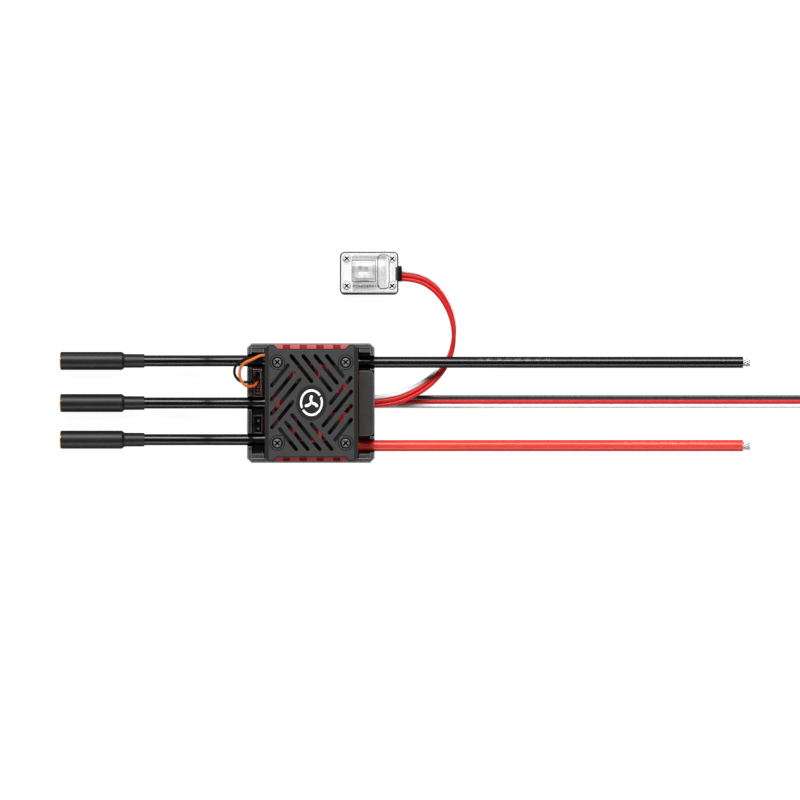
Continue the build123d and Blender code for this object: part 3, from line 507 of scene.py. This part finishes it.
dress(["base_shell"], CASE)
dress(["terminal_cover"], COVER)
dress(["case_screws"], CASE_SCREW)
dress(["guard_screws"], GUARD_SCREW)
dress(["control_pcb", "power_pcb"], BOARD)
dress(["control_parts", "mosfets"], CHIP)
dress(["capacitors"], ALUMINIUM)
dress(["solder_pads"], SOLDER)
dress(["thermal_pad"], PAD)
dress(["heatsink"], RED_METAL)
dress(["fan_frame", "fan_rotor"], FAN)
dress(["fan_bearing"], BRONZE)
dress(["fan_stator"], COPPER)
dress(["fan_magnet"], MAGNET)
dress(["fan_shaft"], STEEL)
dress(["fan_guard"], GUARD)
dress(["guard_badge"], BADGE)
dress(["badge_emblem"], MARK)
dress(["fan_header", "fan_plug"], PLUG)
dress(["board_header", "cable_clamp", "port_housing"], PORT)
dress(["receiver_plug"], LEAD_PLUG)
dress(["port_pins"], PIN)
dress(["fan_pins", "receiver_contacts", "bullet_a", "bullet_b", "bullet_c"], GOLD)
dress(["fan_lead_orange"], LEAD_ORANGE)
dress(["fan_lead_black"], LEAD_BROWN)
dress(["shrink_a", "shrink_b", "shrink_c"], SLEEVE)
dress(["power_tip_black", "power_tip_red"], TINNED)
dress(["switch_base", "switch_cover"], CLEAR)
dress(["switch_pcb", "switch_tact"], SWITCH_BOARD)
dress(["switch_leds"], LED)
dress(["switch_button"], FROSTED)
dress(["switch_screws"], STEEL_SCREW)
dress(["switch_grommet"], GROMMET)
dress(["motor_wire_a", "motor_wire_b", "motor_wire_c", "power_wire_black"], MOTOR_SILICONE)
dress(["power_wire_red"], RED_SILICONE)
dress(["receiver_black"], CORE_BLACK)
dress(["receiver_red", "switch_red_mid", "switch_red_outer"], CORE_RED)
dress(["receiver_white", "switch_white"], CORE_WHITE)

# --------------------------------------------------------------------------- cords
LEAD_D, CORE_D = 3.5 * MM, 1.25 * MM
CORE_SWELL = 1.07                    # cores of a flat cable touch, so they draw a little wide
LEAD_SWELL = 1.025                   # makes up for the flats of a many-sided tube

# Places and routes are in millimetres, as the points of the CAD tubes are.
CORE_PITCH = 1.35
LEAD_Z, CORE_Z = 9.75, 3.55          # heights at which leads and receiver cores leave it
LEAD_LOW, CORE_LOW = 1.75, 0.65      # heights at which they lie on the ground
MOTOR_ROWS = {"a": 13.45, "b": 0.0, "c": -11.7}
POWER_ROWS = {"black": 13.0, "red": -13.6}
RECEIVER_Y = 0.44
MOTOR_ROUTE = [(-13.2, LEAD_Z), (-24.0, LEAD_Z), (-41.5, 2.9), (-64.8, 2.9)]
POWER_ROUTE = [(13.2, LEAD_Z), (37.0, LEAD_Z), (67.0, LEAD_LOW), (97.0, LEAD_LOW),
               (137.9, LEAD_LOW)]
RECEIVER_ROUTE = [(16.4, CORE_Z), (22.8, CORE_Z), (31.5, CORE_LOW), (40.7, CORE_LOW),
                  (165.0, CORE_LOW)]
# x, y, z and the cable's twist in degrees, from the switch box back to the case
SWITCH_ROUTE = [
    (27.4, 40.9, 3.5, 0),
    (33.2, 40.9, 3.5, 0),
    (39.6, 37.6, 2.7, 30),
    (44.0, 31.4, 2.1, 58),
    (45.9, 24.0, 2.1, 82),
    (45.1, 16.5, 2.1, 103),
    (41.5, 10.1, 2.7, 127),
    (35.2, 4.6, 4.2, 153),
    (25.4, 0.35, 5.1, 180),
    (16.4, 0.35, 5.1, 180),
]


def make_cord(name, points, diameter, surface, node):
    """A smooth cord, in place of a plain CAD tube; points steer its line, in millimetres."""
    curve = bpy.data.curves.new(name, "CURVE")
    curve.dimensions = "3D"
    spline = curve.splines.new("NURBS")
    spline.points.add(len(points) - 1)
    for point, place in zip(spline.points, points):
        point.co = (*[value * MM for value in place], 1.0)
    spline.order_u = 3
    spline.use_endpoint_u = True
    spline.resolution_u = 16
    curve.bevel_depth = diameter / 2
    curve.bevel_resolution = 6
    curve.use_fill_caps = True
    curve.materials.append(surface.material)
    cord = bpy.data.objects.new(name, curve)
    scene.collection.objects.link(cord)
    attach(cord, "controller")
    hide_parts(node)
    return cord


def core_route(place):
    """The route of one core of the twisting flat switch cable; place is 1, 0 or -1."""
    points = []
    last = len(SWITCH_ROUTE) - 1
    for number, (x, y, z, twist) in enumerate(SWITCH_ROUTE):
        before = SWITCH_ROUTE[max(number - 1, 0)]
        after = SWITCH_ROUTE[min(number + 1, last)]
        run = Vector((after[0] - before[0], after[1] - before[1], 0)).normalized()
        angle = math.radians(twist)
        aside = Vector((-run.y, run.x, 0)) * math.cos(angle) - Vector((0, 0, 1)) * math.sin(angle)
        points.append(tuple(Vector((x, y, z)) + aside * (place * CORE_PITCH)))
    return points


def tube_mesh(builder, line, radius):
    """A capped tube round a line of points that runs mostly along X."""
    sides = 8
    turns = [2 * math.pi * side / sides for side in range(sides)]
    rings = []
    for x, y, z in line:
        rings.append([builder.verts.new((x, y + radius * math.cos(turn), z + radius * math.sin(turn)))
                      for turn in turns])
    for ring, following in zip(rings, rings[1:]):
        for side in range(sides):
            after = (side + 1) % sides
            builder.faces.new((ring[side], ring[after], following[after], following[side]))
    builder.faces.new(rings[0])
    builder.faces.new(rings[-1])


def add_piece(name, builder, surface, replaced=()):
    """Turns a finished bmesh into a piece that rides on the controller."""
    bmesh.ops.recalc_face_normals(builder, faces=builder.faces)
    mesh = bpy.data.meshes.new(name)
    builder.to_mesh(mesh)
    builder.free()
    mesh.materials.append(surface.material)
    piece = bpy.data.objects.new(name, mesh)
    scene.collection.objects.link(piece)
    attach(piece, "controller")
    if replaced:
        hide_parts(*replaced)
    return piece


def make_strands(colour):
    """The lead's bare end: three layers of strands laid in a twist, cut a little unevenly."""
    low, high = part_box(f"power_tip_{colour}")
    middle_y, middle_z = (low.y + high.y) / 2, (low.z + high.z) / 2
    strand, ragged = 0.24 * MM, 0.3 * MM     # radius, and the most that one is cut short
    outer_reach = (high.y - low.y) / 2 - strand
    root = low.x - 0.3 * MM              # inside the insulation
    steps, twist, flare, outer_share = 8, 0.9, 0.06, 0.86
    chance = random.Random(7)
    builder = bmesh.new()
    for count, share in ((1, 0.0), (6, 0.44), (12, outer_share)):
        for number in range(count):
            tip = high.x - chance.uniform(0.0, ragged)
            spread = chance.uniform(0.96, 1.04)
            line = []
            for step in range(steps + 1):
                along = step / steps
                turn = 2 * math.pi * number / count + twist * along
                reach = outer_reach * share / outer_share * (1 - flare + flare * along * spread)
                x = root + (tip - root) * along
                line.append((x, middle_y + reach * math.cos(turn), middle_z + reach * math.sin(turn)))
            tube_mesh(builder, line, strand)
    return add_piece(f"bare_strands_{colour}", builder, TINNED, [f"power_tip_{colour}"])


def make_solder_row():
    """A row of small uneven solder joints along the switch board's lower edge."""
    board_low, board_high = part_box("switch_pcb")
    joints, pitch, margin, row = 10, 0.86 * MM, 0.5 * MM, 1.7 * MM
    length, width, height, proud = 0.72, 0.5, 0.3, 0.05
    chance = random.Random(3)
    builder = bmesh.new()
    for number in range(joints):
        x = board_low.x + margin + number * pitch
        y = board_low.y + row + chance.uniform(-0.08, 0.08) * MM
        size = Vector((length * chance.uniform(0.7, 1.1), width * chance.uniform(0.7, 1.2), height))
        joint = bmesh.ops.create_icosphere(builder, subdivisions=2, radius=0.5)["verts"]
        bmesh.ops.scale(builder, vec=size * MM, verts=joint)
        bmesh.ops.translate(builder, vec=(x, y, board_high.z + proud * MM), verts=joint)
    add_piece("switch_solder_row", builder, CHIP)


make_solder_row()
for letter, row in MOTOR_ROWS.items():
    route = [(x, row, z) for x, z in MOTOR_ROUTE]
    wire = make_cord(f"motor_lead_{letter}", route, LEAD_D * LEAD_SWELL, MOTOR_SILICONE,
                     f"motor_wire_{letter}")

for colour, row in POWER_ROWS.items():
    route = [(x, row, z) for x, z in POWER_ROUTE]
    surface = BLACK_SILICONE if colour == "black" else RED_SILICONE
    wire = make_cord(f"power_lead_{colour}", route, LEAD_D * LEAD_SWELL, surface,
                     f"power_wire_{colour}")
    make_strands(colour)

RECEIVER_CORES = (("black", 1, CORE_BLACK), ("red", 0, CORE_RED), ("white", -1, CORE_WHITE))
for colour, place, surface in RECEIVER_CORES:
    row = RECEIVER_Y + place * CORE_PITCH
    route = [(x, row, z) for x, z in RECEIVER_ROUTE]
    core = make_cord(f"receiver_core_{colour}", route, CORE_D * CORE_SWELL, surface,
                     f"receiver_{colour}")

SWITCH_CORES = (("white", 1, CORE_WHITE), ("red_mid", 0, CORE_RED), ("red_outer", -1, CORE_RED))
for label, place, surface in SWITCH_CORES:
    core = make_cord(f"switch_core_{label}", core_route(place), CORE_D * CORE_SWELL, surface,
                     f"switch_{label}")


# ------------------------------------------------------------------ floor and light
FLOOR_GLOW, WORLD_GLOW = 0.96, 0.1
FLOOR_DROP = 0.02 * MM               # keeps the floor clear of the part's underside
BOUNCE_SIDE = 24 * MM
BOUNCE_FLOOR = GUARD_TOP - 2.0 * MM  # just under the guard's plate


def make_floor():
    """A round pale sweep, lit softly from behind like a light table, with a low wall."""
    profile = [(0.0, 0.0), (6.0, 0.0), (6.6, 0.15), (6.9, 0.5), (7.0, 1.2)]
    steps = 64
    vertices = [(0.0, 0.0, 0.0)]
    for radius, height in profile[1:]:
        for step in range(steps):
            turn = 2 * math.pi * step / steps
            vertices.append((radius * math.cos(turn), radius * math.sin(turn), height))
    faces = [(0, 1 + step, 1 + (step + 1) % steps) for step in range(steps)]
    for ring in range(len(profile) - 2):
        low, high = 1 + ring * steps, 1 + (ring + 1) * steps
        for step in range(steps):
            after = (step + 1) % steps
            faces.append((low + step, high + step, high + after, low + after))
    mesh = bpy.data.meshes.new("floor")
    mesh.from_pydata(vertices, [], faces)
    floor = bpy.data.objects.new("floor", mesh)
    floor.location.z = -FLOOR_DROP
    scene.collection.objects.link(floor)
    surface = Surface("paper", 0.9, Specular_IOR_Level=0.1)
    fibre = surface.noise(8.0 * MM, detail=3.0)
    surface.colour(surface.ramp(fibre, shade(0.115), shade(0.125)))
    surface.shader.inputs["Emission Color"].default_value = (1.0, 1.0, 1.0, 1.0)
    surface.shader.inputs["Emission Strength"].default_value = FLOOR_GLOW
    mesh.materials.append(surface.material)


def add_light(name, angle, distance, width, depth, radiance, aim=(0.03, 0.0, 0.01)):
    """A soft panel facing the point aim, angle degrees from straight above it towards +Y."""
    data = bpy.data.lights.new(name, "AREA")
    data.shape = "RECTANGLE"
    data.size, data.size_y = width, depth
    data.energy = radiance * math.pi * width * depth
    light = bpy.data.objects.new(name, data)
    tilt = math.radians(angle)
    towards = Vector((0.0, math.sin(tilt), math.cos(tilt)))
    light.location = Vector(aim) + towards * distance
    light.rotation_euler = (-tilt, 0.0, 0.0)
    scene.collection.objects.link(light)


def make_world():
    """A weak even light from all round."""
    world = bpy.data.worlds.new("studio")
    world.use_nodes = True
    background = world.node_tree.nodes["Background"]
    background.inputs["Color"].default_value = (1.0, 1.0, 1.0, 1.0)
    background.inputs["Strength"].default_value = WORLD_GLOW
    scene.world = world


make_floor()
make_world()
add_light("key", angle=44, distance=1.2, width=1.8, depth=0.46, radiance=13.0)
add_light("fill", angle=-59, distance=1.2, width=1.8, depth=0.32, radiance=6.0)
# a weak panel between the guard and the fan lights the red fins that show through the slots
add_light("bounce", angle=0, distance=0.1 * MM, width=BOUNCE_SIDE, depth=BOUNCE_SIDE,
          radiance=1.4, aim=(0.0, 0.0, BOUNCE_FLOOR))
scene.view_settings.view_transform = "Standard"
